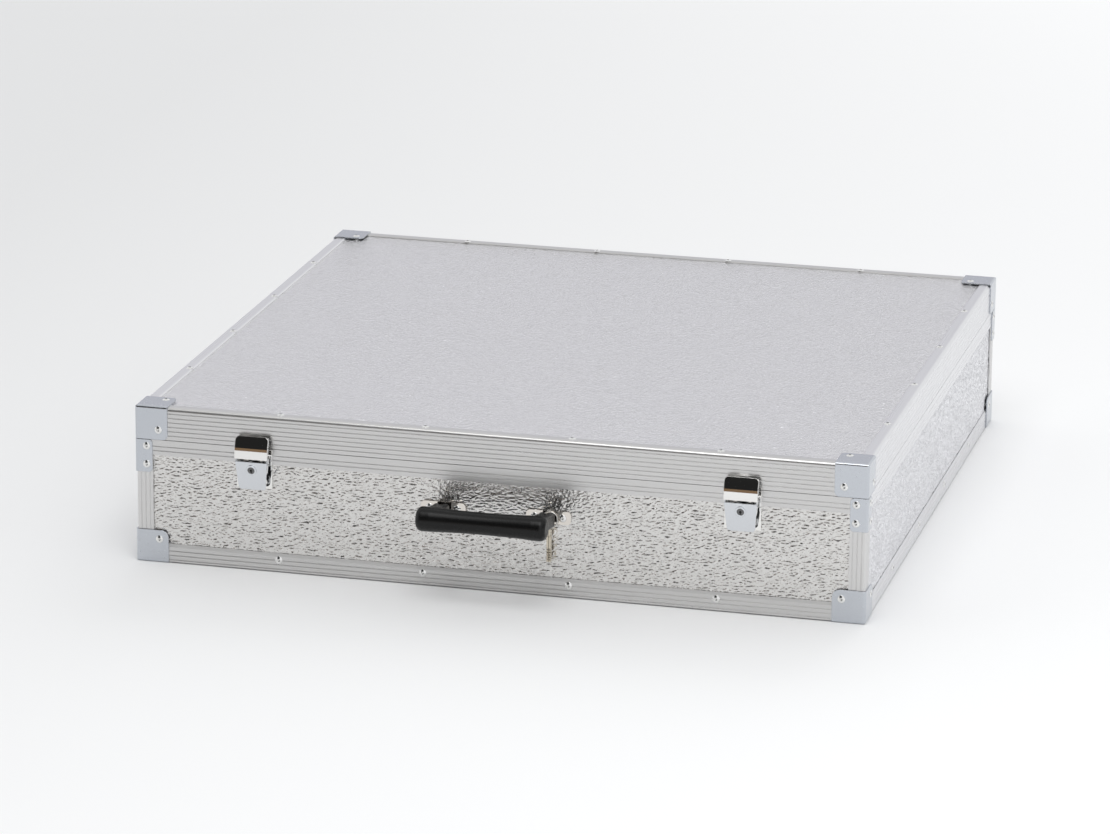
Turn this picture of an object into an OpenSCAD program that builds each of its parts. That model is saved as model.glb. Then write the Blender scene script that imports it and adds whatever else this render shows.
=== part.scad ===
// Flat hinged aluminium case for drawing and painting supplies.
// Frame: +X to the right, +Y to the back, +Z up. The origin is the centre of the
// footprint, on the plane that the four steel foot corners stand on.

/* [Case] */
// Width over the steel corners
case_w = 750; // [500:1:1000]
// Depth over the steel corners
case_d = 735; // [400:1:900]
// Height over the steel corners, lid closed
case_h = 164; // [140:1:260]
// Height of the lid, from the split to the top of its corners
lid_h = 35; // [32:1:42]
// Gap between the lid and the base
split_gap = 0.5; // [0.3:0.1:0.8]

/* [Panels] */
// Thickness of the embossed aluminium-faced panels
panel_t = 5; // [4:0.5:6]

/* [Aluminium profiles] */
// Wall of the outer face of every profile
skin_t = 1.4; // [1.2:0.1:1.8]
// Wall of the inner webs of the profiles
web_t = 1.3; // [1:0.1:1.6]
// Distance between two grooves in a ribbed face
groove_pitch = 4.6; // [3.5:0.1:6]
// Radius of a groove
groove_r = 0.4; // [0.25:0.05:0.5]
// Width of the flange on top of the lid
lid_flange_w = 13; // [10:0.5:16]
// Visible height of the rim profile on the base
rim_h = 16; // [14:0.5:20]
// Height of the tongue that locates the lid
tongue_h = 4; // [2:0.5:4.5]
// Height of the bottom edge profile
edge_h = 18.8; // [16:0.2:24]
// Height of the bevelled lip on the edge profile
edge_lip_h = 3; // [2:0.5:4]
// Width of the edge profile's flange under the floor
edge_flange_w = 22; // [16:1:30]
// Width of each face of the vertical corner posts
post_w = 17; // [14:0.5:22]

/* [Steel corners] */
// Sheet thickness of the steel corners and guards
steel_t = 1.2; // [1:0.1:1.5]
// Leg of the foot corners and the lid corners
corner_leg = 34; // [28:1:45]
// Rounding of a foot corner's free tips
foot_tip_r = 8; // [3:0.5:10]
// Rounding of a lid corner's free tips
lid_tip_r = 5; // [2:0.5:8]
// Rounding of the outer edges of the steel corners
steel_edge_r = 2.4; // [1.8:0.1:3]
// Width of each face of the upper corner guards
guard_w = 18; // [15:0.5:24]
// Height of the upper corner guards
guard_h = 34; // [28:1:45]

/* [Rivets] */
// Radius of a rivet head
head_r = 4; // [3:0.1:4.5]
// Height of a rivet head
head_h = 1.3; // [0.8:0.1:1.8]
// Radius of the rivet body
shank_r = 2; // [1.5:0.1:2.2]
// Radius of the open centre of a rivet
core_r = 1.4; // [0.8:0.1:1.5]
// Number of rivets along each edge
edge_rivet_count = 4; // [2:1:7]

/* [Latches] */
// Distance between the two latches
latch_span = 500; // [250:1:600]
// Width of the claw plate
claw_w = 34; // [32:0.5:40]
// Height of the claw's top above the split
claw_top = 13.5; // [12:0.5:15]
// Length of the lever plate
lever_len = 30; // [27:0.5:36]
// Width of the lever at its free end
lever_tip_w = 28; // [24:0.5:31]
// Radius of the lock's bezel ring
bezel_r = 5.5; // [5:0.1:6]
// Radius of the turning lock plug
plug_r = 3.6; // [3:0.1:4]
// Radius of the latch pins
pin_r = 1.2; // [1:0.1:1.3]

/* [Handle] */
// Length of the grip
grip_len = 132; // [130:1:160]
// Radius of the grip at its ends
grip_r = 12.4; // [10.4:0.2:13]
// Depth of the waist in the middle of the grip
grip_waist = 1.4; // [0:0.1:2]
// Reach from the swing axis to the middle of the grip
grip_reach = 42.7; // [38:0.1:50]
// Angle at which the handle stands above the horizontal
handle_lift = 6.7; // [0:0.1:10]
// Width of an arm of the handle
arm_w = 14.4; // [12:0.2:15]
// Radius of an arm's rounded end, half its height
eye_r = 8; // [7:0.5:8.5]
// Distance from the case's middle to each bracket's middle
bracket_x = 54; // [50:0.5:60]
// Length of a bracket over both ears
bracket_len = 46; // [44:0.5:50]
// Distance between a bracket's two rivets
bracket_rivet_span = 28.4; // [27:0.2:31]
// Height of a bracket's plate
bracket_h = 13.5; // [12:0.5:16]
// Height of the swing axis below the split
handle_drop = 46.4; // [42:0.2:50]
// Radius of the bracket's bar
bar_r = 2; // [1.5:0.1:2.5]

/* [Keys] */
// Middle radius of the key ring
ring_r = 8; // [7.5:0.1:8.5]
// Radius of the key ring's wire
ring_wire_r = 0.6; // [0.4:0.05:0.7]
// Length of a key
key_len = 38; // [30:1:40]
// Thickness of a key
key_t = 1.9; // [1.4:0.1:2.1]

/* [Hinges] */
// Distance between the two hinges
hinge_span = 500; // [300:1:600]
// Width of a hinge
hinge_w = 60; // [50:1:90]
// Outer radius of the hinge knuckles
knuckle_r = 3.4; // [3:0.1:4]
// Radius of the hinge pin
hinge_pin_r = 1.9; // [1.5:0.1:2.2]
// Opening angle at which the stop tabs meet
hinge_stop = 97; // [92:1:110]

/* [Fits] */
// Clearance all round a rivet body or a fixed pin
hole_fit = 0.1; // [0.05:0.05:0.2]
// Radial clearance of a turning pin
turn_fit = 0.08; // [0.05:0.01:0.1]
// Gap between two pieces that move past each other
side_fit = 0.3; // [0.2:0.05:0.5]
// Gap at the profiles' mitred corners
mitre_gap = 0.1; // [0.05:0.05:0.3]

/* [Hidden] */
$fn = 48;
eps = 0.01;
long = 2000; // longer than anything in the case

// Finishes
silver = [0.80, 0.79, 0.77];
embossed = [0.76, 0.75, 0.73];
steel = [0.78, 0.80, 0.83];
chrome = [0.86, 0.87, 0.88];
black = [0.06, 0.06, 0.07];
brassy = [0.72, 0.66, 0.55];

// Main planes
panel_out = skin_t;       // a panel's face lies this far behind the profile's face
split_z = case_h - lid_h;
skin_w = case_w - 2 * steel_t;
skin_d = case_d - 2 * steel_t;
skin_z0 = steel_t;
skin_z1 = case_h - steel_t;
lid_z0 = split_z + split_gap / 2;
base_z1 = split_z - split_gap / 2;
lid_skin_h = skin_z1 - lid_z0;
rim_z0 = base_z1 - rim_h;
floor_z = skin_z0 + skin_t;

// Channel of the rim profile and the groove that its tongue enters
channel_u = skin_t + panel_t;
groove_w = panel_t - 0.2;
tongue_t = 1.4;
tongue_u = skin_t + (groove_w - tongue_t) / 2;
lid_groove_h = tongue_h + split_gap + 1;
lid_inner_u = skin_t + groove_w;
slot_top = lid_skin_h - skin_t;
slot_bottom = slot_top - panel_t;
chamber_top = slot_bottom - web_t;

// Rivet places
corner_rivet = 24.5;      // from both edges of a steel corner
corner_rivet_top = 26;    // from the front edge, on a lid corner's top face
guard_rivet = 12;         // from the vertical edge of a guard
guard_rivet_z1 = 7;       // upper rivet below the split
guard_rivet_z2 = 26;      // lower rivet below the split
guard_tip_r = 4;
profile_edge_r = 1.2;
lid_rivet_u = 9;          // from the outer face of the lid profile
edge_rivet_z = 13;
flange_lip = 0.5;         // thickness left at the lid flange's inner edge
flange_bevel = 1.6;       // width of the bevel there
lip_bevel = 0.4;          // thickness left at the top of the edge profile's lip
hole_over = 0.3;          // depth of a rivet's hole beyond its body
leaf_rivet_drop = 2.5;    // base leaf's rivets below the leaf's middle
leaf_rivet_edge = 8;      // lid leaf's rivets from its top edge
plate_rivet_edge = 7;     // latch plate's rivets from its lower edge
rivet_grip = 3.2;         // length of a rivet body below its head

// Latch geometry, measured outward from the profile's face and up from the split
lever_pin = [6, -11];
lever_face = 6.3;         // lever plate in front of its pin
lever_top = 0.2;          // lever plate above its pin
lever_tilt = 9.5;
lever_t = 1.3;
lever_root_w = 33;
flange_t = 1.2;
link_r = 3.6;             // lever pin to claw pin
link_angle = 35;          // outward from straight down
link = link_r * [sin(link_angle), -cos(link_angle)];
claw_pin = lever_pin + link;
claw_t = 1.3;
claw_bottom = -9;
claw_arm_r = 5;           // inner radius of the claw's hooked arms, clear of the lever's top
claw_arm_t = 1.4;
claw_belly = 12.4;        // furthest point of the claw's curve
claw_head = 6.8;          // outer face of the claw at its top edge
claw_arm_x = 7;
claw_arm_w = 3.4;
tab_w = 9;
ear_x = 13.4;             // inner face of the latch plate's ears
ear_r = 2.3;
lock_z = -8.6;            // lock below the lever pin, along the lever
latch_plate_w = 37;
latch_plate_h = 42;
latch_plate_t = 1.2;
strike_w = 22;
strike_t = 1.2;
strike_top = claw_top - claw_t - 0.9;
ledge_out = 4.6;
ledge_slope = 12;
tab_in = 2;               // inner end of the claw's tab
tab_under = strike_top - (ledge_out - tab_in) * tan(ledge_slope) + 0.25;
ledge_t = 1.4;            // strike's ledge at its tip
ledge_root = 3.2;         // and at the wall
strike_foot = 1;          // strike above the split
strike_rivet_z = split_z + strike_top - ledge_root - head_r;
latch_plate_face_y = -(skin_d / 2 - panel_out + latch_plate_t);
latch_plate_rivet_z = split_z - latch_plate_h + plate_rivet_edge;
lock_back = 1.2;          // back of the lock plug from the lever pin's plane
cam_len = 9;
cam_w = 3.4;
cam_t = 1.2;
drive = [2.8, 1.4];       // square end of the cam in the plug's back
drive_fit = 0.2;
bezel_h = 0.8;            // bezel in front of the lever
plug_proud = 0.6;         // plug in front of the lever
key_slot_w = 1;
key_slot_len = 2.8;
keeper_x = 5.4;           // keepers from the lock's axis
keeper_w = 1.6;
keeper_up = 0.8;          // keepers' middle above the lock's axis
keeper_half = 3;          // half of a keeper's height
keeper_reach = 4.1;
keeper_t = 1.1;           // hooked front of a keeper
keeper_foot = 1.6;        // its lower web
link_ear_w = 1.8;
link_ear_x = claw_arm_x + claw_arm_w / 2 + side_fit + link_ear_w / 2;
pin_end_fit = 0.2;        // end of a pin inside the faces that it joins
claw_corner_r = 4;
claw_return = 4.2;        // depth of the claw's returned sides
claw_bend = 1.25;         // how quickly its face curves back
claw_belly_at = 0.14;     // height of the belly, as a share of the claw

// Handle geometry
plate_t = 1.5;
bracket_end_r = 4.5;
lug_w = 5;
lug_rim = 1.6;            // of the lug round the bar
lug_r = bar_r + lug_rim;
bar_out = 3;              // bar beyond each side of the lug, moulded into the arm
eye_wall_gap = 3.2;       // behind the arms, where the key ring passes
arm_edge_r = 3;
arm_fillet_r = 10;        // between the arms and the grip
arm_fillet_h = 12;
arm_fillet_in = 8;        // corner of the fillet inside the grip
handle_z = split_z - handle_drop;
bracket_face_y = -(skin_d / 2 - panel_out + plate_t);
handle_y = bracket_face_y - eye_wall_gap - eye_r;
grip_end_r = 6;
waist_end = 14;           // the waist ends this far from the grip's ends

// Key ring, hung on the lug of the right bracket behind the handle's arm
ring_off = 1.8;           // middle of the ring from the lug's middle
ring_x = bracket_x + ring_off;
ring_lean = 10;
ring_wall_gap = 0.3;      // behind the top of the ring
ring_reach = lug_w / 2 + ring_off;
ring_sag = ring_r - sqrt(pow(ring_r - ring_wire_r, 2) - ring_reach * ring_reach);
ring_top = [
    bracket_face_y - ring_wire_r - ring_wall_gap,
    handle_z + lug_r + side_fit + ring_sag * cos(ring_lean)
];
key_bow_w = 8;
key_bow_h = 13;
key_bow_r = 3.9;
key_blade_w = 5;
key_hole_r = 1.9;
key_rim = 1.6;            // metal above the key's hole
cut_count = 5;            // cuts in the blade's edge
cut_pitch = 2.6;
cut_r = [1, 1.25];
cut_out = 0.4;            // middle of a cut outside the blade's edge
key_apart = 0.4;          // between the two keys

// Hinge geometry
leaf_t = 1.5;
leaf_gap = knuckle_r + 0.5; // leaf's plate above or below the pin
knuckle_web = 2;
knuckle_gap = 0.2;        // between a knuckle and the profile's face
hinge_y = skin_d / 2 + knuckle_r + knuckle_gap;
base_leaf_h = rim_h - 1;
lid_leaf_h = 25;
base_leaf_rivet_z = split_z - base_leaf_h / 2 - leaf_rivet_drop;
lid_leaf_rivet_z = split_z + lid_leaf_h - leaf_rivet_edge;
tab_z = knuckle_r + 2;    // stop tabs above and below the pin
tab_reach = tab_z / tan(hinge_stop / 2);
tab_t = 1.5;
stop_tab_w = 8;
knuckle_count = 5;

// Sides are counted 0 to 3 from the front and corners from the front left, both past the right
function side(name) = search([name], ["front", "right", "back", "left"])[0];
function side_len(s) = s % 2 == 0 ? skin_w : skin_d;
function case_side(s) = s % 2 == 0 ? case_w : case_d;
function side_half(s) = s % 2 == 0 ? skin_d / 2 : skin_w / 2;
function even_marks(len) = [for (k = [1:edge_rivet_count]) (k / (edge_rivet_count + 1) - 0.5) * len];
function corner_sx(c) = c == 0 || c == 3 ? 0 : 1;
function corner_sy(c) = c < 2 ? 0 : 1;

// ---- Shared shapes ----

// A square whose corner at the origin is rounded
module nicked_square(a, b, r) {
    difference() {
        square([a, b]);
        corner_nick(r);
    }
}

// What rounding takes off a corner at the origin
module corner_nick(r) {
    difference() {
        translate([-eps, -eps]) square(r + eps);
        translate([r, r]) circle(r);
    }
}

// Rectangle round its centre with rounded corners
module rounded_rect(w, h, r) {
    square([w - 2 * r, h], center = true);
    square([w, h - 2 * r], center = true);
    for (x = [-1, 1], y = [-1, 1]) translate([x * (w / 2 - r), y * (h / 2 - r)]) circle(r);
}

// Turns the front side onto side s
module on_side(s) {
    rotate([0, 0, 90 * s]) children();
}

// Mirrors the front left corner onto corner c
module on_corner(c) {
    mirror([corner_sx(c), 0, 0])
        mirror([0, corner_sy(c), 0])
            translate([-case_w / 2, -case_d / 2, 0]) children();
}

// Section drawn as (inward, up), run along X
module run_inward(len) {
    rotate([90, 0, 90]) linear_extrude(len, center = true) children();
}

// Section drawn as (outward, up), run along X
module run_outward(len) {
    rotate([90, 0, -90]) linear_extrude(len, center = true) children();
}

// One mitred length of profile on side s, from a section drawn as (inward, up)
module mitred_length(s, z, depth) {
    len = side_len(s) - 2 * mitre_gap;
    on_side(s) translate([0, -side_half(s), z]) intersection() {
        run_inward(len) children();
        translate([0, 0, -case_h]) linear_extrude(2 * case_h)
            polygon([[-len / 2, 0], [len / 2, 0], [len / 2 - depth, depth], [depth - len / 2, depth]]);
    }
}

// Row of half-round grooves in an outer face
module grooves(from, to) {
    for (v = [from:groove_pitch:to]) translate([0, v]) circle(groove_r);
}

// ---- Rivets ----

// Head on the plane z = 0 and hollow body below it
module rivet() {
    rotate_extrude() difference() {
        union() {
            intersection() {
                translate([0, head_h - dome_r()]) circle(dome_r());
                square([head_r, head_h]);
            }
            translate([0, -rivet_grip]) square([shank_r, rivet_grip + eps]);
        }
        translate([-eps, -rivet_grip / 2]) square([core_r + eps, rivet_grip + head_h]);
        translate([-long, -long]) square([long, 2 * long]);
    }
}

function dome_r() = (head_r * head_r + head_h * head_h) / (2 * head_h);

// Hole for a rivet body
module rivet_hole() {
    translate([0, 0, -rivet_grip - hole_over]) cylinder(r = shank_r + hole_fit, h = rivet_grip + 2);
}

// Places on the outer face of side s, distance out from the profile's face
module face_places(s, xs, z, out) {
    on_side(s) for (x = xs) translate([x, -side_half(s) - out, z]) rotate([90, 0, 0]) children();
}

module edge_rivet_places() {
    for (s = [0:3]) face_places(s, even_marks(case_side(s)), edge_rivet_z, 0) children();
}

module lid_rivet_places() {
    for (s = [0:3]) on_side(s) for (x = even_marks(case_side(s)))
        translate([x, -side_half(s) + lid_rivet_u, skin_z1]) children();
}

// On the two upright faces of a steel corner at the origin, and on its flat face
module corner_places(on_flat) {
    translate([corner_rivet, 0, corner_rivet]) rotate([90, 0, 0]) children();
    translate([0, corner_rivet, corner_rivet]) rotate([0, -90, 0]) children();
    if (on_flat) translate([corner_rivet, corner_rivet_top, 0]) rotate([180, 0, 0]) children();
}

module foot_corner_places() {
    for (c = [0:3]) on_corner(c) corner_places(false) children();
}

module lid_corner_places() {
    for (c = [0:3]) on_corner(c) translate([0, 0, case_h]) mirror([0, 0, 1]) corner_places(true) children();
}

module guard_places() {
    for (c = [0:3], z = [guard_rivet_z1, guard_rivet_z2]) on_corner(c) {
        translate([guard_rivet, 0, split_z - z]) rotate([90, 0, 0]) children();
        translate([0, guard_rivet, split_z - z]) rotate([0, -90, 0]) children();
    }
}

module bracket_rivet_places() {
    for (m = [0, 1], x = [-1, 1]) mirror([m, 0, 0])
        translate([bracket_x + x * bracket_rivet_span / 2, bracket_face_y, handle_z])
            rotate([90, 0, 0]) children();
}

module base_leaf_rivet_places() {
    for (m = [-1, 1], x = [-1, 1])
        translate([m * hinge_span / 2 + x * hinge_w / 3, skin_d / 2 + leaf_t, base_leaf_rivet_z])
            rotate([-90, 0, 0]) children();
}

module lid_leaf_rivet_places() {
    for (m = [-1, 1], x = [-1, 0, 1])
        translate([m * hinge_span / 2 + x * hinge_w / 3, skin_d / 2 + leaf_t, lid_leaf_rivet_z])
            rotate([-90, 0, 0]) children();
}

module strike_rivet_places() {
    for (m = [-1, 1], x = [-1, 1])
        translate([m * latch_span / 2 + x * (strike_w / 2 - head_r), -skin_d / 2 - strike_t, 0])
            translate([0, 0, strike_rivet_z]) rotate([90, 0, 0]) children();
}

module latch_plate_rivet_places() {
    for (m = [-1, 1], x = [-1, 1])
        translate([m * latch_span / 2 + x * latch_plate_w / 4, latch_plate_face_y, latch_plate_rivet_z])
            rotate([90, 0, 0]) children();
}

module base_rivets() {
    color(chrome) {
        edge_rivet_places() rivet();
        foot_corner_places() rivet();
        guard_places() rivet();
        bracket_rivet_places() rivet();
        base_leaf_rivet_places() rivet();
        latch_plate_rivet_places() rivet();
    }
}

module lid_rivets() {
    color(chrome) {
        lid_rivet_places() rivet();
        lid_corner_places() rivet();
        lid_leaf_rivet_places() rivet();
        strike_rivet_places() rivet();
    }
}

// ---- Base: panels ----

module drilled_base() {
    difference() {
        children();
        edge_rivet_places() rivet_hole();
        foot_corner_places() rivet_hole();
        guard_places() rivet_hole();
        bracket_rivet_places() rivet_hole();
        base_leaf_rivet_places() rivet_hole();
        latch_plate_rivet_places() rivet_hole();
    }
}

module floor_panel() {
    inner = skin_t + panel_t;
    color(embossed) drilled_base()
        translate([inner - skin_w / 2, inner - skin_d / 2, floor_z])
            cube([skin_w - 2 * inner, skin_d - 2 * inner, panel_t]);
}

// Front and back run through, the sides stand between them
module wall_panel(s) {
    len = s % 2 == 0 ? skin_w - 2 * skin_t : skin_d - 2 * channel_u;
    color(embossed) drilled_base() on_side(s)
        translate([-len / 2, skin_t - side_half(s), floor_z])
            cube([len, panel_t, base_z1 - skin_t - floor_z]);
}

// ---- Base: profiles ----

// Inverted channel over a wall's top edge, with the tongue that enters the lid
module rim_section() {
    difference() {
        translate([0, -rim_h]) square([channel_u + web_t, rim_h]);
        translate([skin_t, -rim_h - eps]) square([panel_t, rim_h - skin_t + eps]);
        grooves(-rim_h + groove_pitch, -groove_pitch / 2);
    }
    translate([tongue_u, -eps]) square([tongue_t, tongue_h + eps]);
}

module rim(s) {
    color(silver) drilled_base() mitred_length(s, base_z1, channel_u + web_t) rim_section();
}

// Angle under the floor's edge with a bevelled lip against the wall
module edge_section() {
    difference() {
        square([skin_t, edge_h - edge_lip_h]);
        grooves(groove_pitch / 2, edge_h - edge_lip_h - 1);
    }
    polygon([
        [0, edge_h - edge_lip_h - eps], [skin_t, edge_h - edge_lip_h - eps],
        [skin_t, edge_h], [skin_t - lip_bevel, edge_h]
    ]);
    square([edge_flange_w, skin_t]);
}

module edge_profile(s) {
    color(silver) drilled_base() mitred_length(s, skin_z0, edge_flange_w) edge_section();
}

// Ribbed angle up each vertical edge, between the edge profile and the rim
module corner_posts() {
    post_z0 = skin_z0 + edge_h;
    color(silver) drilled_base() for (c = [0:3]) on_corner(c)
        translate([steel_t, steel_t, post_z0]) linear_extrude(rim_z0 - post_z0) difference() {
            nicked_square(post_w, post_w, 2);
            translate([skin_t, skin_t]) square(post_w);
            for (p = [groove_pitch:groove_pitch:post_w - 2]) {
                translate([p, 0]) circle(groove_r);
                translate([0, p]) circle(groove_r);
            }
        }
}

// ---- Steel corners ----

// Cuts a rounded tip off a front plate and a side plate, drawn as (along, up)
module on_both_plates() {
    translate([0, steel_t + 1, 0]) rotate([90, 0, 0]) linear_extrude(steel_t + 2) children();
    translate([-1, 0, 0]) rotate([90, 0, 90]) linear_extrude(steel_t + 2) children();
}

// Three-faced cap with its corner at the origin and rounded outer edges
module steel_cap(tall, tip_r) {
    difference() {
        intersection() {
            linear_extrude(tall) nicked_square(corner_leg, corner_leg, steel_edge_r);
            translate([0, corner_leg, 0]) rotate([90, 0, 0]) linear_extrude(corner_leg)
                nicked_square(corner_leg, tall, steel_edge_r);
            rotate([90, 0, 90]) linear_extrude(corner_leg) nicked_square(corner_leg, tall, steel_edge_r);
        }
        translate([steel_t, steel_t, steel_t]) cube(2 * corner_leg);
        on_both_plates() translate([corner_leg, tall]) rotate(180) corner_nick(tip_r);
        translate([corner_leg, corner_leg, -1]) linear_extrude(steel_t + 2) rotate(180) corner_nick(tip_r);
    }
}

module foot_corner(c) {
    color(steel) drilled_base() on_corner(c) steel_cap(corner_leg, foot_tip_r);
}

module lid_corner(c) {
    color(steel) drilled_lid() on_corner(c)
        translate([0, 0, case_h]) mirror([0, 0, 1]) steel_cap(case_h - lid_z0, lid_tip_r);
}

// Angle guards under the split, tips rounded
module corner_guards() {
    guard_z0 = base_z1 - guard_h;
    color(steel) drilled_base() for (c = [0:3]) on_corner(c) translate([0, 0, guard_z0]) difference() {
        linear_extrude(guard_h) difference() {
            nicked_square(guard_w, guard_w, steel_edge_r);
            translate([steel_t, steel_t]) square(guard_w);
        }
        on_both_plates() for (end = [0, 1])
            translate([guard_w, end * guard_h]) rotate(90 + 90 * end) corner_nick(guard_tip_r);
    }
}

// ---- Lid ----

module drilled_lid() {
    difference() {
        children();
        lid_rivet_places() rivet_hole();
        lid_corner_places() rivet_hole();
        lid_leaf_rivet_places() rivet_hole();
        strike_rivet_places() rivet_hole();
    }
}

module lid_panel() {
    inset = skin_t + hole_fit;
    color(embossed) drilled_lid()
        translate([inset - skin_w / 2, inset - skin_d / 2, lid_z0 + slot_bottom])
            cube([skin_w - 2 * inset, skin_d - 2 * inset, panel_t]);
}

// Ribbed wall with a chamber, a groove for the tongue and a slot for the lid panel
module lid_section() {
    difference() {
        union() {
            square([lid_inner_u + web_t, slot_bottom]);
            square([skin_t, lid_skin_h]);
            translate([0, slot_top]) top_flange();
        }
        translate([skin_t, -eps]) square([groove_w, lid_groove_h + eps]);
        translate([skin_t, lid_groove_h + web_t]) square([groove_w, chamber_top - lid_groove_h - web_t]);
        translate([0, lid_skin_h]) mirror([0, 1]) corner_nick(profile_edge_r);
        grooves(groove_pitch, lid_skin_h - groove_pitch / 2);
    }
}

// Top flange, bevelled where it ends on the panel
module top_flange() {
    polygon([
        [0, 0], [lid_flange_w, 0], [lid_flange_w, flange_lip],
        [lid_flange_w - flange_bevel, skin_t], [0, skin_t]
    ]);
}

module lid_frame(s) {
    color(silver) drilled_lid() mitred_length(s, lid_z0, lid_flange_w) lid_section();
}

// ---- Latches, drawn for a latch in the middle of the front ----

// Origin on the profile's face at the split, latch m is -1 for left and 1 for right
module at_latch(m) {
    translate([m * latch_span / 2, -skin_d / 2, split_z]) children();
}

module latch_plate(m) {
    step = panel_out;
    root = -rim_h - split_gap;
    color(chrome) drilled_base() at_latch(m) {
        run_outward(latch_plate_w) polygon([
            [0, -1], [latch_plate_t, -1], [latch_plate_t, root - 0.2],
            [latch_plate_t - step, root - 0.2 - step], [latch_plate_t - step, -latch_plate_h],
            [-step, -latch_plate_h], [-step, root - step + 0.1], [0, root + 0.1]
        ]);
        for (x = [-1, 1]) translate([x * (ear_x + flange_t / 2), 0, 0]) run_outward(flange_t) difference() {
            union() {
                translate(lever_pin) circle(ear_r);
                translate([latch_plate_t / 2, lever_pin[1] - ear_r])
                    square([lever_pin[0] - latch_plate_t / 2, 2 * ear_r]);
            }
            translate(lever_pin) circle(pin_r + hole_fit);
        }
        keeper();
    }
}

// Hook on the latch plate that the lock's cam turns under
module keeper() {
    z = lever_pin[1] + lock_z * cos(lever_tilt) + keeper_up;
    hook = keeper_reach - keeper_t;
    for (x = [-1, 1]) translate([x * keeper_x, 0, z]) run_outward(keeper_w) polygon([
        [-panel_out / 2, -keeper_half], [keeper_reach, -keeper_half], [keeper_reach, keeper_half],
        [hook, keeper_half], [hook, keeper_foot - keeper_half], [0, keeper_foot - keeper_half]
    ]);
}

// Two short pins, so that the claw's arms swing freely between them
module lever_pin_pair(m) {
    from = ear_x - 2 * pin_end_fit;
    color(steel) at_latch(m) for (x = [0, 1]) mirror([x, 0, 0])
        translate([from, -lever_pin[0], lever_pin[1]]) rotate([0, 90, 0])
            cylinder(r = pin_r, h = lever_root_w / 2 - pin_end_fit - from);
}

// Frame of the lever, with its origin on the pin's axis and its plate along -Z
module in_lever(m) {
    at_latch(m) translate([0, -lever_pin[0], lever_pin[1]]) rotate([lever_tilt, 0, 0]) children();
}

// Tapered front plate of the lever, drawn as (across, up)
module lever_outline(trim) {
    tip_r = 2;
    top = lever_top;
    polygon([
        [trim - lever_root_w / 2, top], [lever_root_w / 2 - trim, top],
        [lever_tip_w / 2 - trim, tip_r - lever_len], [lever_tip_w / 2 - tip_r, trim - lever_len],
        [tip_r - lever_tip_w / 2, trim - lever_len], [trim - lever_tip_w / 2, tip_r - lever_len]
    ]);
}

module lever(m) {
    color(chrome) in_lever(m) difference() {
        union() {
            translate([0, -lever_face + lever_t, 0]) rotate([90, 0, 0])
                linear_extrude(lever_t) lever_outline(0);
            lever_sides();
            translate([0, -lever_face, lock_z]) rotate([90, 0, 0]) cylinder(r = bezel_r, h = bezel_h);
            for (x = [-1, 1]) translate([x * link_ear_x, 0, 0]) run_outward(link_ear_w) link_ear();
        }
        translate([0, 0, lock_z]) rotate([90, 0, 0]) cylinder(r = plug_r + turn_fit, h = 30, center = true);
        for (x = [-1, 1]) translate([x * lever_root_w / 2, 0, 0]) rotate([0, 90, 0])
            cylinder(r = pin_r + turn_fit, h = 8, center = true);
        rotate([-lever_tilt, 0, 0]) translate([0, -link[0], link[1]])
            rotate([0, 90, 0]) cylinder(r = pin_r + hole_fit, h = lever_root_w, center = true);
    }
}

// Returned sides of the lever, with an eye round the lever pin
module lever_sides() {
    for (x = [-1, 1]) intersection() {
        translate([x * (lever_root_w / 2 - flange_t / 2), 0, 0]) run_outward(flange_t) {
            circle(ear_r);
            polygon([[-ear_r, 0], [0, ear_r], [lever_face - lever_t / 2, lever_top],
                     [lever_face - lever_t / 2, 1 - lever_len], [lever_face - 3, 1 - lever_len], [0, -6]]);
        }
        translate([0, long / 2, 0]) rotate([90, 0, 0]) linear_extrude(long) lever_side_outline();
    }
}

module lever_side_outline() {
    lever_outline(0);
    translate([-lever_root_w / 2, -1]) square([lever_root_w, ear_r + 1]);
}

// Lug behind the lever's plate that carries the claw pin
module link_ear() {
    rotate(lever_tilt) translate(link) circle(ear_r - 0.4);
    polygon([[lever_face - lever_t / 2, -2], [lever_face - lever_t / 2, -8], [1, -6], [1, -3.5]]);
}

module claw_pin_rod(m) {
    color(steel) at_latch(m) translate([0, -claw_pin[0], claw_pin[1]]) rotate([0, 90, 0])
        cylinder(r = pin_r, h = 2 * link_ear_x + link_ear_w - pin_end_fit, center = true);
}

module lock_plug(m) {
    color(steel) in_lever(m) translate([0, 0, lock_z]) rotate([90, 0, 0]) difference() {
        translate([0, 0, lock_back]) cylinder(r = plug_r, h = lever_face + plug_proud - lock_back);
        translate([0, 0, lever_face - 2.4]) linear_extrude(6) key_slot();
        translate([0, 0, lock_back - 1]) linear_extrude(2.2)
            square(drive + [drive_fit, drive_fit], center = true);
    }
}

module key_slot() {
    circle(1.2 * key_slot_w);
    translate([-key_slot_w / 2, -key_slot_len]) square([key_slot_w, key_slot_len]);
}

// Cam on the back of the plug, turned clear of the keepers
module lock_cam(m) {
    color(steel) in_lever(m) translate([0, 0, lock_z]) rotate([90, 0, 0]) {
        translate([0, 0, lock_back - cam_t]) linear_extrude(cam_t) rounded_rect(cam_w, cam_len, cam_w / 3);
        translate([0, 0, lock_back - eps]) linear_extrude(1) square(drive, center = true);
    }
}

// How far the claw's face has curved back at a share f of its height
function claw_share(f) = pow(abs(f - claw_belly_at) / (1 - claw_belly_at), claw_bend);

// Curved outer face of the claw, as (outward, up), offset inward by t
function claw_curve(t) = [
    for (k = [0:8]) let (f = k / 8, z = claw_bottom + f * (claw_top - claw_bottom))
        [claw_head + (claw_belly - claw_head) * cos(90 * claw_share(f)) - t, z]
];

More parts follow.
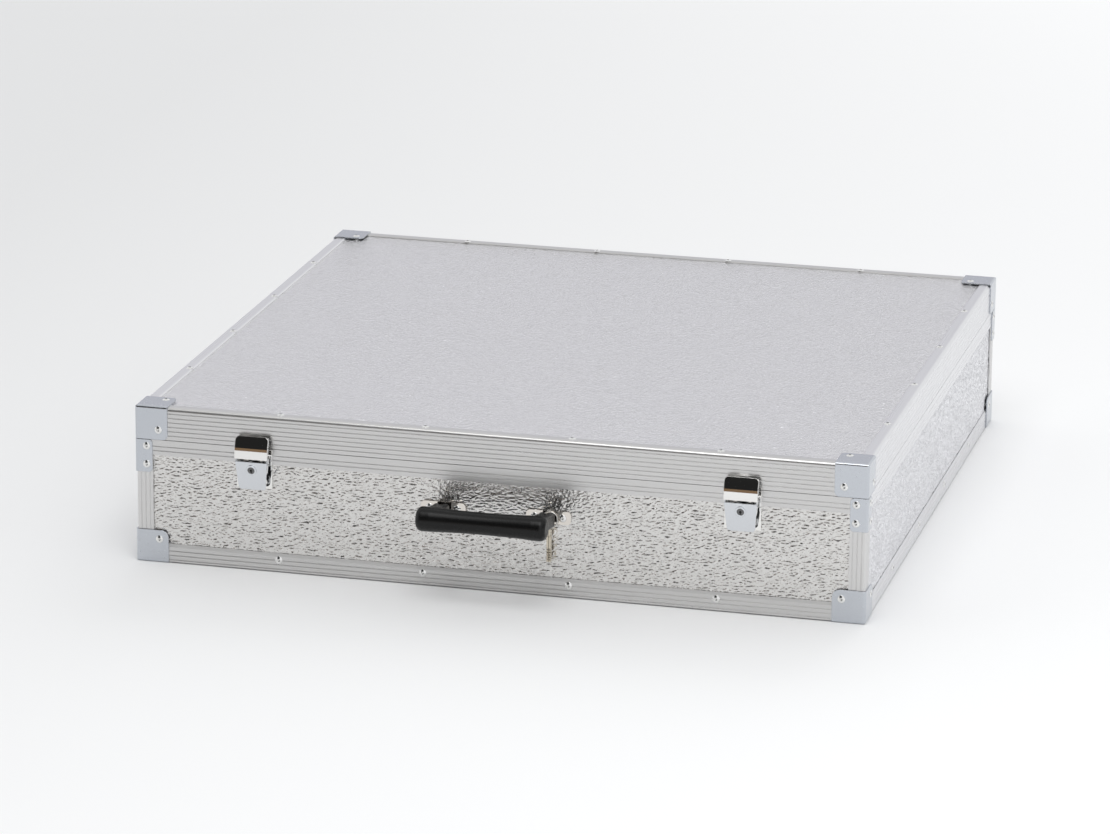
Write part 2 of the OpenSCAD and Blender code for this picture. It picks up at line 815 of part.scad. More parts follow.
module claw(m) {
    color(chrome) at_latch(m) difference() {
        union() {
            intersection() {
                run_outward(claw_w)
                    polygon(concat(claw_curve(0), [for (k = [8:-1:0]) claw_curve(claw_t)[k]]));
                translate([0, long / 2, 0]) rotate([90, 0, 0]) linear_extrude(long) claw_outline();
            }
            intersection() {
                for (x = [-1, 1]) translate([x * (claw_w - claw_t) / 2, 0, 0]) run_outward(claw_t)
                    polygon(concat(
                        [for (k = [2:8]) claw_curve(claw_t / 2)[k]],
                        [for (k = [8:-1:2]) claw_curve(claw_return)[k]]
                    ));
                translate([0, long / 2, 0]) rotate([90, 0, 0]) linear_extrude(long) claw_outline();
            }
            run_outward(tab_w) polygon([
                [claw_head - claw_t / 2, claw_top], [claw_head - claw_t / 2, claw_top - claw_t],
                [tab_in, tab_under], [tab_in, tab_under + claw_t]
            ]);
            for (x = [-1, 1]) translate([x * claw_arm_x, 0, 0]) run_outward(claw_arm_w) translate(claw_pin)
                claw_arm();
        }
        translate([0, -claw_pin[0], claw_pin[1]]) rotate([0, 90, 0])
            cylinder(r = pin_r + turn_fit, h = claw_w, center = true);
    }
}

// Hooked arm round the lever's top edge, drawn as (outward, up) from the claw pin
module claw_arm() {
    outer = claw_arm_r + claw_arm_t;
    circle(ear_r - 0.3);
    translate([-claw_arm_r - claw_arm_t / 2, -1]) square([claw_arm_r + claw_arm_t / 2, 2]);
    intersection() {
        difference() {
            circle(outer);
            circle(claw_arm_r);
        }
        polygon(concat([[0, 0]], [for (a = [60:30:180]) 2 * outer * [cos(a), sin(a)]], [[-outer, -1]]));
    }
    polygon([
        outer * [cos(60), sin(60)], outer * [cos(95), sin(95)] - [0, 0.4],
        claw_curve(claw_t / 2)[3] - claw_pin, claw_curve(claw_t / 2)[0] - claw_pin + [0, 0.1]
    ]);
}

// Front view of the claw with rounded top corners
module claw_outline() {
    tall = claw_top - claw_bottom;
    translate([0, claw_bottom + tall / 2]) rounded_rect(claw_w, tall, claw_corner_r);
    translate([-claw_w / 2, claw_bottom]) square([claw_w, tall - claw_corner_r]);
}

// Plate on the lid with a ledge that the claw's tab reaches over
module strike(m) {
    color(chrome) drilled_lid() at_latch(m) {
        run_outward(strike_w) translate([0, strike_foot])
            square([strike_t, strike_top - ledge_t - strike_foot]);
        run_outward(tab_w + 4) polygon([
            [0, strike_top - ledge_root], [strike_t, strike_top - ledge_root],
            [ledge_out, strike_top - ledge_t],
            [ledge_out, strike_top], [0, strike_top - ledge_out * tan(ledge_slope)]
        ]);
    }
}

// ---- Handle ----

// Plate with one lug in its middle and a bar through it
module bracket(m) {
    lug_reach = bracket_face_y - handle_y;
    color(chrome) drilled_base() mirror([m < 0 ? 1 : 0, 0, 0]) translate([bracket_x, 0, handle_z]) {
        translate([0, bracket_face_y + plate_t, 0]) rotate([90, 0, 0]) linear_extrude(plate_t)
            rounded_rect(bracket_len, bracket_h, bracket_end_r);
        translate([0, bracket_face_y + eps, 0]) run_outward(lug_w) {
            translate([lug_reach, 0]) circle(lug_r);
            translate([0, -lug_r]) square([lug_reach, 2 * lug_r]);
        }
        translate([0, handle_y, 0]) rotate([0, 90, 0])
            cylinder(r = bar_r, h = lug_w + 2 * bar_out, center = true);
    }
}

// Waisted bar with two arms, each forked round a bracket's lug
module handle_grip() {
    color(black) translate([0, handle_y, handle_z]) rotate([-handle_lift, 0, 0]) difference() {
        union() {
            grip_bar();
            for (m = [0, 1]) mirror([m, 0, 0]) {
                translate([bracket_x, 0, 0]) arm();
                translate([bracket_x - arm_w / 2, arm_fillet_in - grip_reach, -arm_fillet_h / 2])
                    mirror([1, 0, 0]) linear_extrude(arm_fillet_h) corner_nick(arm_fillet_r);
            }
        }
        for (x = [-1, 1]) translate([x * bracket_x, 0, 0]) {
            run_outward(lug_w + 2 * side_fit) translate([-2 * eye_r, -2 * eye_r])
                square([2 * eye_r + lug_r + side_fit, 4 * eye_r]);
            rotate([0, 90, 0])
                cylinder(r = bar_r + 2 * turn_fit, h = lug_w + 2 * (bar_out + turn_fit), center = true);
        }
    }
}

// Bar of the handle with a waist in the middle
module grip_bar() {
    waist_drop = grip_r - grip_waist;
    span = grip_len / 2 - waist_end;
    waist_r = (span * span + grip_waist * grip_waist) / (2 * grip_waist + eps);
    translate([0, -grip_reach, 0]) rotate([0, 90, 0]) rotate_extrude($fn = 96) difference() {
        intersection() {
            translate([0, -grip_len / 2]) square([grip_r, grip_len]);
            grip_end_round();
        }
        translate([waist_drop + waist_r, 0]) circle(waist_r, $fn = 400);
    }
}

// Arm from the swing axis to the grip, with its long edges rounded
module arm() {
    intersection() {
        run_outward(arm_w) {
            circle(eye_r);
            translate([0, -eye_r]) square([grip_reach, 2 * eye_r]);
        }
        translate([0, 2 * eye_r, 0]) rotate([90, 0, 0]) linear_extrude(grip_reach + 2 * eye_r)
            rounded_rect(arm_w, 2 * eye_r, arm_edge_r);
    }
}

// Section of the grip with its outer ends rounded
module grip_end_round() {
    rounded_rect(2 * grip_r, grip_len, grip_end_r);
}

// ---- Keys ----

// Frame of the ring: origin at its top, leaning out from the wall
module in_ring() {
    translate([ring_x, ring_top[0], ring_top[1]]) rotate([-ring_lean, 0, 0]) children();
}

module key_ring() {
    color(steel) in_ring() translate([0, 0, -ring_r]) rotate([90, 0, 0]) rotate_extrude($fn = 64)
        translate([ring_r, 0]) circle(ring_wire_r, $fn = 16);
}

// Key hanging from the ring's lowest point, one step to the side for n = 1
module key(n) {
    low = [ring_top[0] - 2 * ring_r * sin(ring_lean), ring_top[1] - 2 * ring_r * cos(ring_lean)];
    color(brassy) translate([ring_x + (n - 0.5) * (key_t + key_apart), low[0], low[1]])
        run_outward(key_t) key_outline();
}

// Hole at the origin, bow above it and blade below, drawn as (across, up)
module key_outline() {
    top = key_hole_r + key_rim;
    difference() {
        union() {
            translate([0, top - key_bow_h / 2]) rounded_rect(key_bow_w, key_bow_h, key_bow_r);
            translate([-key_blade_w / 2, top - key_len]) square([key_blade_w, key_len - key_bow_h + 1]);
        }
        circle(key_hole_r);
        for (k = [0:cut_count - 1])
            translate([key_blade_w / 2 + cut_out, top - key_len + (k + 1) * cut_pitch])
                circle(cut_r[k % 2]);
    }
}

// ---- Hinges on the back ----

module at_hinge(m) {
    translate([m * hinge_span / 2, hinge_y, split_z]) rotate([0, 0, 180]) children();
}

// Knuckles k = first, first + 2, ... round the pin
module knuckles(first) {
    w = hinge_w / knuckle_count;
    for (k = [first:2:knuckle_count - 1]) translate([(k + 0.5) * w - hinge_w / 2, 0, 0])
        run_outward(w - side_fit) children();
}

// One leaf, up = 1 for the lid's and -1 for the base's; outward is measured from the pin
module leaf(up, height, first) {
    inner = hinge_y - skin_d / 2;
    difference() {
        union() {
            run_outward(hinge_w) translate([-inner, up > 0 ? leaf_gap : -height])
                square([leaf_t, height - leaf_gap]);
            knuckles(first) {
                circle(knuckle_r);
                translate([-inner, up > 0 ? 0 : -leaf_gap - eps]) square([leaf_t, leaf_gap + eps]);
                translate([-inner, -knuckle_web / 2]) square([inner, knuckle_web]);
            }
            run_outward(stop_tab_w) translate([-inner, up > 0 ? tab_z : -tab_z - tab_t])
                square([inner + tab_reach, tab_t]);
        }
        rotate([0, 90, 0])
            cylinder(r = hinge_pin_r + (up > 0 ? turn_fit : hole_fit), h = hinge_w + 2, center = true);
    }
}

module base_leaf(m) {
    color(steel) drilled_base() at_hinge(m) leaf(-1, base_leaf_h, 0);
}

module lid_leaf(m) {
    color(steel) drilled_lid() at_hinge(m) leaf(1, lid_leaf_h, 1);
}

module hinge_pin(m) {
    color(steel) at_hinge(m) rotate([0, 90, 0]) cylinder(r = hinge_pin_r, h = hinge_w, center = true);
}

floor_panel();
wall_panel(side("front"));  // front_panel
wall_panel(side("right"));  // right_panel
wall_panel(side("back"));  // back_panel
wall_panel(side("left"));  // left_panel
rim(side("front"));  // rim_front
rim(side("right"));  // rim_right
rim(side("back"));  // rim_back
rim(side("left"));  // rim_left
edge_profile(side("front"));  // edge_front
edge_profile(side("right"));  // edge_right
edge_profile(side("back"));  // edge_back
edge_profile(side("left"));  // edge_left
corner_posts();
corner_guards();
foot_corner(0);  // foot_front_left
foot_corner(1);  // foot_front_right
foot_corner(2);  // foot_back_right
foot_corner(3);  // foot_back_left
base_rivets();
bracket(-1);  // bracket_left
bracket(1);  // bracket_right
latch_plate(-1);  // latch_plate_left
latch_plate(1);  // latch_plate_right
lever_pin_pair(-1);  // lever_pin_left
lever_pin_pair(1);  // lever_pin_right
base_leaf(-1);  // base_leaf_left
base_leaf(1);  // base_leaf_right
hinge_pin(-1);  // hinge_pin_left
hinge_pin(1);  // hinge_pin_right
lid_panel();
lid_frame(side("front"));  // lid_frame_front
lid_frame(side("right"));  // lid_frame_right
lid_frame(side("back"));  // lid_frame_back
lid_frame(side("left"));  // lid_frame_left
lid_corner(0);  // lid_corner_front_left
lid_corner(1);  // lid_corner_front_right
lid_corner(2);  // lid_corner_back_right
lid_corner(3);  // lid_corner_back_left
lid_rivets();
strike(-1);  // strike_left
strike(1);  // strike_right
lid_leaf(-1);  // lid_leaf_left
lid_leaf(1);  // lid_leaf_right
lever(-1);  // lever_left
lever(1);  // lever_right
claw(-1);  // claw_left
claw(1);  // claw_right
claw_pin_rod(-1);  // claw_pin_left
claw_pin_rod(1);  // claw_pin_right
lock_plug(-1);  // lock_plug_left
lock_plug(1);  // lock_plug_right
lock_cam(-1);  // lock_cam_left
lock_cam(1);  // lock_cam_right
handle_grip();
key_ring();
key(0);  // key_front
key(1);  // key_rear
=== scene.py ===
import math

import bmesh
import bpy
import numpy as np
from mathutils import Matrix, Vector


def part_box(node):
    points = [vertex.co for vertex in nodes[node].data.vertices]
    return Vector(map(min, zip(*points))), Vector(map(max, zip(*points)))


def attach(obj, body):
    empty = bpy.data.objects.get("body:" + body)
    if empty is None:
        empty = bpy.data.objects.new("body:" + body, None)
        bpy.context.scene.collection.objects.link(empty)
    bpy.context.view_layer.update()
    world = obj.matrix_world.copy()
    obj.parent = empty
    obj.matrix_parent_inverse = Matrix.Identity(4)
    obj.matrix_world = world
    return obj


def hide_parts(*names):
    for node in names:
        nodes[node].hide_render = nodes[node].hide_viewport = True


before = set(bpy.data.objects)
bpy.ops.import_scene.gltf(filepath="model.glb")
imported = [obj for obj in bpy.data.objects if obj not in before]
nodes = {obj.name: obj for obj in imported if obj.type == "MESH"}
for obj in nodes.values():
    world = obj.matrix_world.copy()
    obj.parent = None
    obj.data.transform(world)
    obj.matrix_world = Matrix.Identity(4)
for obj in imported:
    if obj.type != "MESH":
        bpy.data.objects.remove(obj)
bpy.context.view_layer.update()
deck = bpy.context.scene
sides = ("front", "right", "back", "left")
corners = ("front_left", "front_right", "back_right", "back_left")
pair = ("left", "right")
print("frame loaded:", len(nodes), "nodes")


def newMaterial(name):
    material = bpy.data.materials.new(name)
    material.use_nodes = True
    tree = material.node_tree
    shader = tree.nodes["Principled BSDF"]
    return material, tree, shader


def addNode(tree, kind, inputs=None, **settings):
    node = tree.nodes.new("ShaderNode" + kind)
    for key, value in settings.items():
        setattr(node, key, value)
    for key, value in (inputs or {}).items():
        if hasattr(value, "is_output"):
            tree.links.new(value, node.inputs[key])
        else:
            node.inputs[key].default_value = value
    return node


def mathNode(tree, operation, first, second=0.0):
    return addNode(tree, "Math", {0: first, 1: second}, operation=operation).outputs[0]


# value between fromLow and fromHigh becomes low to high, and stays there outside them
def rampNode(tree, value, low, high, fromLow, fromHigh):
    node = addNode(tree, "MapRange", {"Value": value, "From Min": fromLow, "From Max": fromHigh,
                                      "To Min": low, "To Max": high}, clamp=True)
    return node.outputs["Result"]


def blendColours(tree, factor, first, second):
    node = addNode(tree, "Mix", data_type="RGBA")
    for socket, value in ((0, factor), (6, first), (7, second)):
        if hasattr(value, "is_output"):
            tree.links.new(value, node.inputs[socket])
        else:
            node.inputs[socket].default_value = value
    return node.outputs[2]


def grey(value, warmth=0.0):
    return (value * (1 + warmth), value, value * (1 - warmth), 1)


def stretched(tree, scale=(1, 1, 1)):
    place = addNode(tree, "TexCoord").outputs["Object"]
    return addNode(tree, "Mapping", {"Vector": place, "Scale": scale}).outputs["Vector"]


def noiseNode(tree, place, scale, detail=2.0, **more):
    inputs = {"Vector": place, "Scale": scale, "Detail": detail}
    inputs.update(more)
    return addNode(tree, "TexNoise", inputs).outputs["Fac"]


def bumpNormal(tree, height, depth, under=None):
    inputs = {"Height": height, "Distance": depth, "Strength": 1.0}
    if under is not None:
        inputs["Normal"] = under
    return addNode(tree, "Bump", inputs).outputs["Normal"]


def roundedEdge(tree, radius):
    return addNode(tree, "Bevel", {"Radius": radius}, samples=4).outputs["Normal"]


def setShader(shader, **values):
    names = {"metallic": "Metallic", "roughness": "Roughness", "specular": "Specular IOR Level"}
    for key, value in values.items():
        shader.inputs[names[key]].default_value = value


grainSpan = (0.3, 0.7)  # the part of a noise texture that carries nearly all its values
mottle = 0.96           # darkest tone in the grain of a metal, as a share of its colour


def mottled(tree, grain, colour):
    return blendColours(tree, grain, (*[share * mottle for share in colour], 1), (*colour, 1))


# embossed sheet: broad domes under a fine grain, both as bump. Its base colours are painted light: the
# front, flank and top are darker and paler copies of one sheet, for how the light falls on each face
embossed = {"front": (0.755, 0.745, 0.73), "flank": (0.94, 0.94, 0.965), "top": (0.84, 0.835, 0.85),
            "roughness": {"front": (0.18, 0.26), "flank": (0.25, 0.33), "top": (0.20, 0.28)},
            "domeScale": 0.62 / 0.0026, "domeWarp": 0.8,
            "depth": {"front": 0.00018 * 4, "flank": 0.00018 * 4, "top": 0.00075 * 4},
            "grain": 1300, "grainDepth": 0.00003}


def makeEmbossed(name, look, part):
    material, tree, shader = newMaterial(name)
    place = stretched(tree)
    fine = noiseNode(tree, place, look["grain"])
    tree.links.new(mottled(tree, fine, look[part]), shader.inputs["Base Color"])
    tree.links.new(rampNode(tree, fine, *look["roughness"][part], *grainSpan), shader.inputs["Roughness"])
    relief = bumpNormal(tree, fine, look["grainDepth"])
    broad = noiseNode(tree, place, look["domeScale"], 1.0, Distortion=look["domeWarp"])
    dome = mathNode(tree, "ABSOLUTE", mathNode(tree, "SUBTRACT", broad, 0.5))
    relief = bumpNormal(tree, dome, look["depth"][part], under=relief)
    tree.links.new(relief, shader.inputs["Normal"])
    setShader(shader, metallic=1)
    return material


# ribbed profiles: streaks along their length, one colour for each direction that they run in; these colours
# are painted light, and the profiles running front to back on the lit right side are painted paler than
# those running across
extrusion = {"colour": {0: (0.655, 0.65, 0.645), 1: (0.80, 0.80, 0.815), 2: (0.69, 0.685, 0.68)},
             "streak": 700, "alongStreak": 3, "streakDepth": 0.000012, "roughness": (0.27, 0.34),
             "edge": 0.0004, "lipHeight": 0.003, "lipDull": 0.30}


# above the lip's height the metal is duller
def makeExtrusion(name, look, along, lip=None):
    material, tree, shader = newMaterial(name)
    scale = [look["streak"]] * 3
    scale[along] = look["alongStreak"]
    streak = noiseNode(tree, stretched(tree, scale), 1, 3)
    tree.links.new(mottled(tree, streak, look["colour"][along]), shader.inputs["Base Color"])
    height = addNode(tree, "SeparateXYZ", {"Vector": stretched(tree)}).outputs["Z"]
    roughness = rampNode(tree, streak, *look["roughness"], *grainSpan)
    if lip is not None:
        dull = rampNode(tree, height, 0, look["lipDull"], lip - look["edge"], lip)
        roughness = mathNode(tree, "ADD", roughness, dull)
    tree.links.new(roughness, shader.inputs["Roughness"])
    rounded = roundedEdge(tree, look["edge"])
    tree.links.new(bumpNormal(tree, streak, look["streakDepth"], under=rounded), shader.inputs["Normal"])
    setShader(shader, metallic=1)
    return material


# plated steel: soft edges, a slight wave in its surface and a haze in its gloss
plating = {"waveScale": 60, "haze": 420, "glossSpan": (0.8, 1.25)}


def makePlated(name, colour, roughness, edge=0.0003, wave=0.00003):
    material, tree, shader = newMaterial(name)
    place = stretched(tree)
    swell = noiseNode(tree, place, plating["waveScale"], 1)
    haze = noiseNode(tree, place, plating["haze"], 3)
    gloss = [roughness * share for share in plating["glossSpan"]]
    tree.links.new(rampNode(tree, haze, *gloss, *grainSpan), shader.inputs["Roughness"])
    tree.links.new(mottled(tree, haze, colour), shader.inputs["Base Color"])
    rounded = roundedEdge(tree, edge)
    tree.links.new(bumpNormal(tree, swell, wave, under=rounded), shader.inputs["Normal"])
    setShader(shader, metallic=1)
    return material


gripLook = {"dark": 0.002, "pale": 0.004, "grain": 1500, "grainDepth": 0.00002,
            "roughness": (0.24, 0.34), "specular": 0.28}


def makeGripBlack(name, look):
    material, tree, shader = newMaterial(name)
    grain = noiseNode(tree, stretched(tree), look["grain"])
    tone = blendColours(tree, grain, grey(look["dark"]), grey(look["pale"]))
    tree.links.new(tone, shader.inputs["Base Color"])
    tree.links.new(rampNode(tree, grain, *look["roughness"], *grainSpan), shader.inputs["Roughness"])
    tree.links.new(bumpNormal(tree, grain, look["grainDepth"]), shader.inputs["Normal"])
    setShader(shader, specular=look["specular"])
    return material


def dress(material, *names):
    for name in names:
        data = nodes[name].data
        data.materials.clear()
        data.materials.append(material)


# painted light: the front, flank and top sheets are one metal in three tones, darker or paler for how the
# light falls on them
wallFinish = {"front": makeEmbossed("embossedSheetFrontPaintedLight", embossed, "front"),
              "flank": makeEmbossed("embossedSheetFlankPaintedLight", embossed, "flank")}
topFinish = makeEmbossed("embossedSheetTopPaintedLight", embossed, "top")
zincFinish = makePlated("zincCorner", (0.57, 0.595, 0.635), 0.22, edge=0.0006)
leverFinish = makePlated("satinLever", (0.72, 0.74, 0.77), 0.16, edge=0.0005)
chromeFinish = makePlated("chromePlate", (0.86, 0.85, 0.83), 0.05, edge=0.0004, wave=0.00001)
bracketFinish = makePlated("warmBracketPlating", (0.74, 0.70, 0.65), 0.09, edge=0.0004, wave=0.00001)
rivetFinish = makePlated("brightRivet", (0.84, 0.84, 0.83), 0.14)
steelFinish = makePlated("brightSteel", (0.72, 0.71, 0.69), 0.22)
# painted shade: the lock plug is painted near black, standing in for the shade inside the keyhole's recess
plugShadeFinish = makePlated("lockPlugPaintedShade", (0.16, 0.16, 0.16), 0.25)
gripFinish = makeGripBlack("satinBlackMoulding", gripLook)
keyFinish = makePlated("wornKeyMetal", (0.62, 0.56, 0.46), 0.22)

for side in sides:
    dress(wallFinish["front" if side in ("front", "back") else "flank"], side + "_panel")
dress(topFinish, "floor_panel", "lid_panel")
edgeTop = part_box("edge_front")[1].z
# painted light: each direction of profile gets its own tone for how the light falls on that side
for facing, along, walls in (("Across", 0, ("front", "back")), ("Deep", 1, ("right", "left"))):
    plain = makeExtrusion("ribbedProfilePaintedLight" + facing, extrusion, along)
    foot = makeExtrusion("ribbedEdgePaintedLight" + facing, extrusion, along, lip=edgeTop - extrusion["lipHeight"])
    for side in walls:
        dress(plain, "rim_" + side, "lid_frame_" + side)
        dress(foot, "edge_" + side)
dress(makeExtrusion("ribbedPostPaintedLight", extrusion, 2), "corner_posts")
dress(zincFinish, "corner_guards", *["foot_" + corner for corner in corners],
      *["lid_corner_" + corner for corner in corners])
dress(rivetFinish, "base_rivets", "lid_rivets")
for side in pair:
    dress(bracketFinish, "bracket_" + side)
    dress(chromeFinish, "claw_" + side, "latch_plate_" + side, "strike_" + side)
    dress(leverFinish, "lever_" + side)
    dress(steelFinish, "lever_pin_" + side, "hinge_pin_" + side, "base_leaf_" + side, "lid_leaf_" + side,
          "claw_pin_" + side, "lock_cam_" + side)
    dress(plugShadeFinish, "lock_plug_" + side)
dress(gripFinish, "handle_grip")
dress(steelFinish, "key_ring")
dress(keyFinish, "key_front", "key_rear")
print("finishes on the packed pieces")


# the walls' embossing as real relief: creases wind round low swells, and wave is their spacing along and up
# the sheet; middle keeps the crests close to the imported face, clear of the keys
wallRelief = {"wave": (0.0044, 0.0029), "warp": 1.0, "warpPace": 0.7, "calm": 40,
              "creaseWidth": 0.0010, "creaseDepth": 0.0008, "middle": -0.1,
              "swell": 0.00028, "swellPace": 1.7, "fade": 0.004, "seed": (40, 10),
              "step": {"front": (0.0013, 0.00073), "right": (0.0018, 0.0012),
                       "back": (0.0014, 0.0010), "left": (0.0018, 0.0012)}}


def gradientNoise(u, v, seed):
    cellU, cellV = np.floor(u).astype(int), np.floor(v).astype(int)
    cellU, cellV = cellU - cellU.min(), cellV - cellV.min()
    angles = np.random.default_rng(seed).uniform(0, 2 * math.pi, (cellU.max() + 2, cellV.max() + 2))
    partU, partV = u - np.floor(u), v - np.floor(v)
    easeU, easeV = (part ** 3 * (part * (part * 6 - 15) + 10) for part in (partU, partV))
    total = 0
    for du in (0, 1):
        for dv in (0, 1):
            angle = angles[cellU + du, cellV + dv]
            slope = np.cos(angle) * (partU - du) + np.sin(angle) * (partV - dv)
            total = total + slope * (easeU if du else 1 - easeU) * (easeV if dv else 1 - easeV)
    return total


def embossing(gridU, gridV, look, seed):
    u, v = gridU / look["wave"][0], gridV / look["wave"][1]
    pace = look["warpPace"]
    u = u + gradientNoise(u * pace, v * pace, seed + 1) * look["warp"]
    v = v + gradientNoise(u * pace, v * pace, seed + 2) * look["warp"]
    field = gradientNoise(u, v, seed)
    slopeU, slopeV = np.gradient(field, gridU[:, 0], gridV[0, :])
    fromCrease = np.abs(field) / np.sqrt(slopeU ** 2 + slopeV ** 2 + look["calm"] ** 2)
    crease = np.exp(-(fromCrease / look["creaseWidth"]) ** 2)
    swell = gradientNoise(u * look["swellPace"], v * look["swellPace"], seed + 3)
    return look["swell"] * swell + look["creaseDepth"] * (look["middle"] - crease)


def makeWall(side, seed):
    look = wallRelief
    name = side + "_panel"
    low, high = (np.array(corner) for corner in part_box(name))
    along, out = (0, 1) if side in ("front", "back") else (1, 0)
    outward = 1 if side in ("back", "right") else -1
    outer = high[out] if outward > 0 else low[out]
    inner = low[out] if outward > 0 else high[out]
    step = look["step"][side]
    countU = int(round((high[along] - low[along]) / step[0])) + 1
    countV = int(round((high[2] - low[2]) / step[1])) + 1
    lineU = np.linspace(low[along], high[along], countU)
    lineV = np.linspace(low[2], high[2], countV)
    gridU, gridV = np.meshgrid(lineU, lineV, indexing="ij")
    height = embossing(gridU, gridV, look, seed)
    toEdge = np.minimum(np.minimum(gridU - lineU[0], lineU[-1] - gridU),
                        np.minimum(gridV - lineV[0], lineV[-1] - gridV))
    height = height * np.clip(toEdge / look["fade"], 0, 1)
    points = np.zeros((countU * countV + 4, 3))
    points[:-4, along] = gridU.ravel()
    points[:-4, 2] = gridV.ravel()
    points[:-4, out] = outer + outward * height.ravel()
    for k, (u, v) in enumerate(((0, 0), (-1, 0), (-1, -1), (0, -1))):
        points[-4 + k, along], points[-4 + k, 2], points[-4 + k, out] = lineU[u], lineV[v], inner
    index = np.arange(countU * countV).reshape(countU, countV)
    faces = np.stack([index[:-1, :-1], index[1:, :-1], index[1:, 1:], index[:-1, 1:]], -1)
    faces = faces.reshape(-1, 4).tolist()
    first = countU * countV
    faces.append([first + 3, first + 2, first + 1, first])
    faces.append([*index[::-1, 0].tolist(), first, first + 1])
    faces.append([*index[-1, ::-1].tolist(), first + 1, first + 2])
    faces.append([*index[:, -1].tolist(), first + 2, first + 3])
    faces.append([*index[0, :].tolist(), first + 3, first])
    if (along, outward) in ((0, 1), (1, -1)):
        faces = [face[::-1] for face in faces]
    mesh = bpy.data.meshes.new("embossed_" + side)
    mesh.from_pydata(points.tolist(), [], faces)
    mesh.polygons.foreach_set("use_smooth", [True] * (len(faces) - 5) + [False] * 5)
    mesh.materials.append(wallFinish["front" if side in ("front", "back") else "flank"])
    wall = bpy.data.objects.new("embossed_" + side, mesh)
    deck.collection.objects.link(wall)
    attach(wall, "case_base")
    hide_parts(name)


firstSeed, seedStep = wallRelief["seed"]
for number, side in enumerate(sides):
    makeWall(side, firstSeed + number * seedStep)
print("embossed walls")


# the lid profiles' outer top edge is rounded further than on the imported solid
lidEdge = {"packed": 0.0012, "worn": 0.0038, "margin": 1.05}


def makeLidProfile(side):
    name = "lid_frame_" + side
    low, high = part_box(name)
    axis = 1 if side in ("front", "back") else 0
    outer = high[axis] if side in ("back", "right") else low[axis]
    mesh = nodes[name].data.copy()
    mesh.name = "rounded_" + name
    reach = lidEdge["packed"] * lidEdge["margin"]
    grow = lidEdge["worn"] / lidEdge["packed"]
    for vertex in mesh.vertices:
        inward, down = vertex.co[axis] - outer, vertex.co.z - high.z
        if abs(inward) < reach and abs(down) < reach:
            vertex.co[axis], vertex.co.z = outer + inward * grow, high.z + down * grow
    profile = bpy.data.objects.new(mesh.name, mesh)
    deck.collection.objects.link(profile)
    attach(profile, "lid")
    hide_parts(name)


for side in sides:
    makeLidProfile(side)
print("rounded lid profiles")


# each span is where a part of the sky begins and ends, on the direction's X, Y or height
# the floor's two tones and their span across X are painted light: the paper runs paler towards the right,
# standing in for the light falling off to the left
studio = {"floorSize": 60, "floorPaintedLightTones": (0.785, 0.95), "floorPaintedLightSpan": (-1.0, 0.6),
          "floorTint": -0.003, "floorRoughness": 0.9, "floorSpecular": 0.1,
          "sky": 0.92, "skyTint": -0.008, "zenith": 0.72, "roomTop": (0.84, 0.94),
          "room": 0.018, "dusk": (0.26, 0.17, 0.10), "dusty": (0.03, 0.12),
          "roomFront": (-0.45, -0.10), "roomRight": (-0.06, 0.16), "roomLeft": (-0.80, -0.50),
          "behind": (0.645, 0.64, 0.685), "behindLeft": (-0.12, 0.06), "behindBack": (0.3, 0.7),
          "behindTop": (0.27, 0.50),
          "side": (0.50, 0.50, 0.515), "sideRight": (0.70, 0.90), "sideTop": (0.30, 0.55),
          "frontLamp": (2.2, 40, (0.2, -1.9, 3.2), (0, -0.4, 0)),
          "backLamp": (3.0, 46, (0.3, 4.4, 3.0), (0, 2.4, 0))}


def makeFloor():
    work = bmesh.new()
    bmesh.ops.create_grid(work, x_segments=2, y_segments=2, size=studio["floorSize"] / 2)
    mesh = bpy.data.meshes.new("studioFloor")
    work.to_mesh(mesh)
    work.free()
    floor = bpy.data.objects.new("studioFloor", mesh)
    deck.collection.objects.link(floor)
    material, tree, shader = newMaterial("floorPaper")
    # painted light: the paper is painted paler towards the right, standing in for the light falling more
    # strongly there
    across = addNode(tree, "SeparateXYZ", {"Vector": stretched(tree)}).outputs["X"]
    paintedLight = rampNode(tree, across, 0, 1, *studio["floorPaintedLightSpan"])
    tone = blendColours(tree, paintedLight, *[grey(pale, studio["floorTint"]) for pale in studio["floorPaintedLightTones"]])
    tree.links.new(tone, shader.inputs["Base Color"])
    setShader(shader, roughness=studio["floorRoughness"], specular=studio["floorSpecular"])
    mesh.materials.append(material)


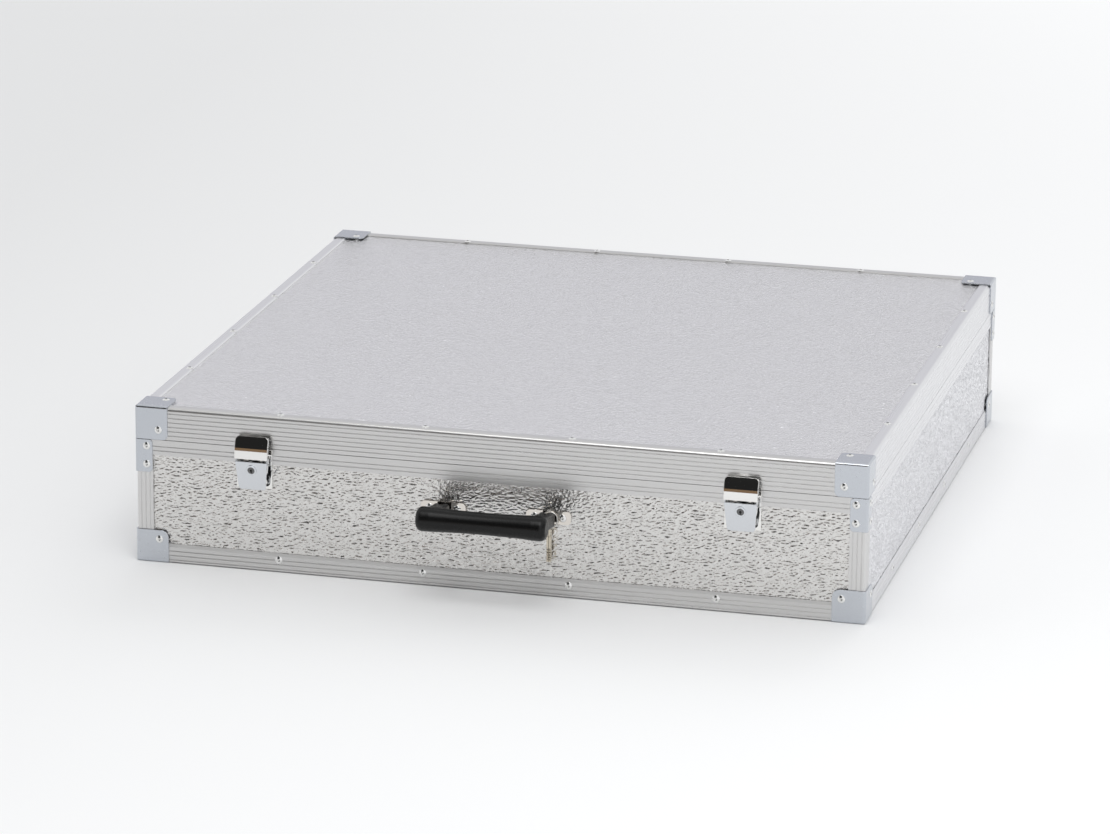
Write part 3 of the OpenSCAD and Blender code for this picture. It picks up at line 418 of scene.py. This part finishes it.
def makeSky():
    world = bpy.data.worlds.new("studioSky")
    deck.world = world
    world.use_nodes = True
    tree = world.node_tree
    towards = addNode(tree, "TexCoord").outputs["Generated"]
    parts = addNode(tree, "SeparateXYZ", {"Vector": towards})
    across, depth, height = (parts.outputs[axis] for axis in "XYZ")

    def rising(value, span):
        return rampNode(tree, value, 0, 1, *studio[span])

    def falling(value, span):
        return rampNode(tree, value, 1, 0, *studio[span])

    # dark room on the handle's side, with a brown strip along the horizon
    room = mathNode(tree, "MULTIPLY", falling(depth, "roomFront"), falling(height, "roomTop"))
    sideways = mathNode(tree, "MULTIPLY", falling(across, "roomRight"), rising(across, "roomLeft"))
    room = mathNode(tree, "MULTIPLY", room, sideways)
    strip = falling(height, "dusty")
    roomColour = blendColours(tree, strip, grey(studio["room"]), (*studio["dusk"], 1))
    # greyer wall behind and to the left, which the top sheet mirrors
    behind = mathNode(tree, "MULTIPLY", falling(across, "behindLeft"), rising(depth, "behindBack"))
    behind = mathNode(tree, "MULTIPLY", behind, falling(height, "behindTop"))
    pale = blendColours(tree, behind, grey(studio["sky"], studio["skyTint"]), (*studio["behind"], 1))
    # greyer wall on the right, which the creases of the right-hand side mirror
    aside = mathNode(tree, "MULTIPLY", rising(across, "sideRight"), falling(height, "sideTop"))
    pale = blendColours(tree, aside, pale, (*studio["side"], 1))
    colour = blendColours(tree, room, pale, roomColour)
    overhead = rising(height, "roomTop")
    colour = blendColours(tree, overhead, colour, grey(studio["zenith"]))
    background = tree.nodes["Background"]
    tree.links.new(colour, background.inputs["Color"])
    background.inputs["Strength"].default_value = 1.0


# wide lamps that fill the shadows on the paper
def makeLamp(name):
    size, power, place, target = studio[name]
    data = bpy.data.lights.new(name, "AREA")
    data.shape = "SQUARE"
    data.size = size
    data.energy = power
    lamp = bpy.data.objects.new(name, data)
    deck.collection.objects.link(lamp)
    lamp.location = place
    lamp.rotation_euler = (Vector(target) - Vector(place)).to_track_quat("-Z", "Y").to_euler()
    return lamp


# angles in degrees, focal length in pixels for a frame of this width
shot = {"place": (1.26286, -5.17161, 1.65423), "azimuth": 14.058, "elevation": 16.505, "roll": 0.5595,
        "focal": 5255.775, "width": 1110, "sensor": 36, "clipEnd": 60}


def makeCamera():
    data = bpy.data.cameras.new("view")
    data.sensor_width = shot["sensor"]
    data.lens = shot["focal"] / shot["width"] * shot["sensor"]
    data.clip_end = shot["clipEnd"]
    camera = bpy.data.objects.new("view", data)
    deck.collection.objects.link(camera)
    turn = (Matrix.Rotation(math.radians(shot["azimuth"]), 4, "Z")
            @ Matrix.Rotation(math.radians(90 - shot["elevation"]), 4, "X")
            @ Matrix.Rotation(math.radians(shot["roll"]), 4, "Z"))
    camera.matrix_world = Matrix.Translation(shot["place"]) @ turn
    deck.camera = camera


makeFloor()
makeSky()
makeLamp("frontLamp")
makeLamp("backLamp").visible_glossy = False
makeCamera()
deck.view_settings.view_transform = "Standard"
print("studio ready")
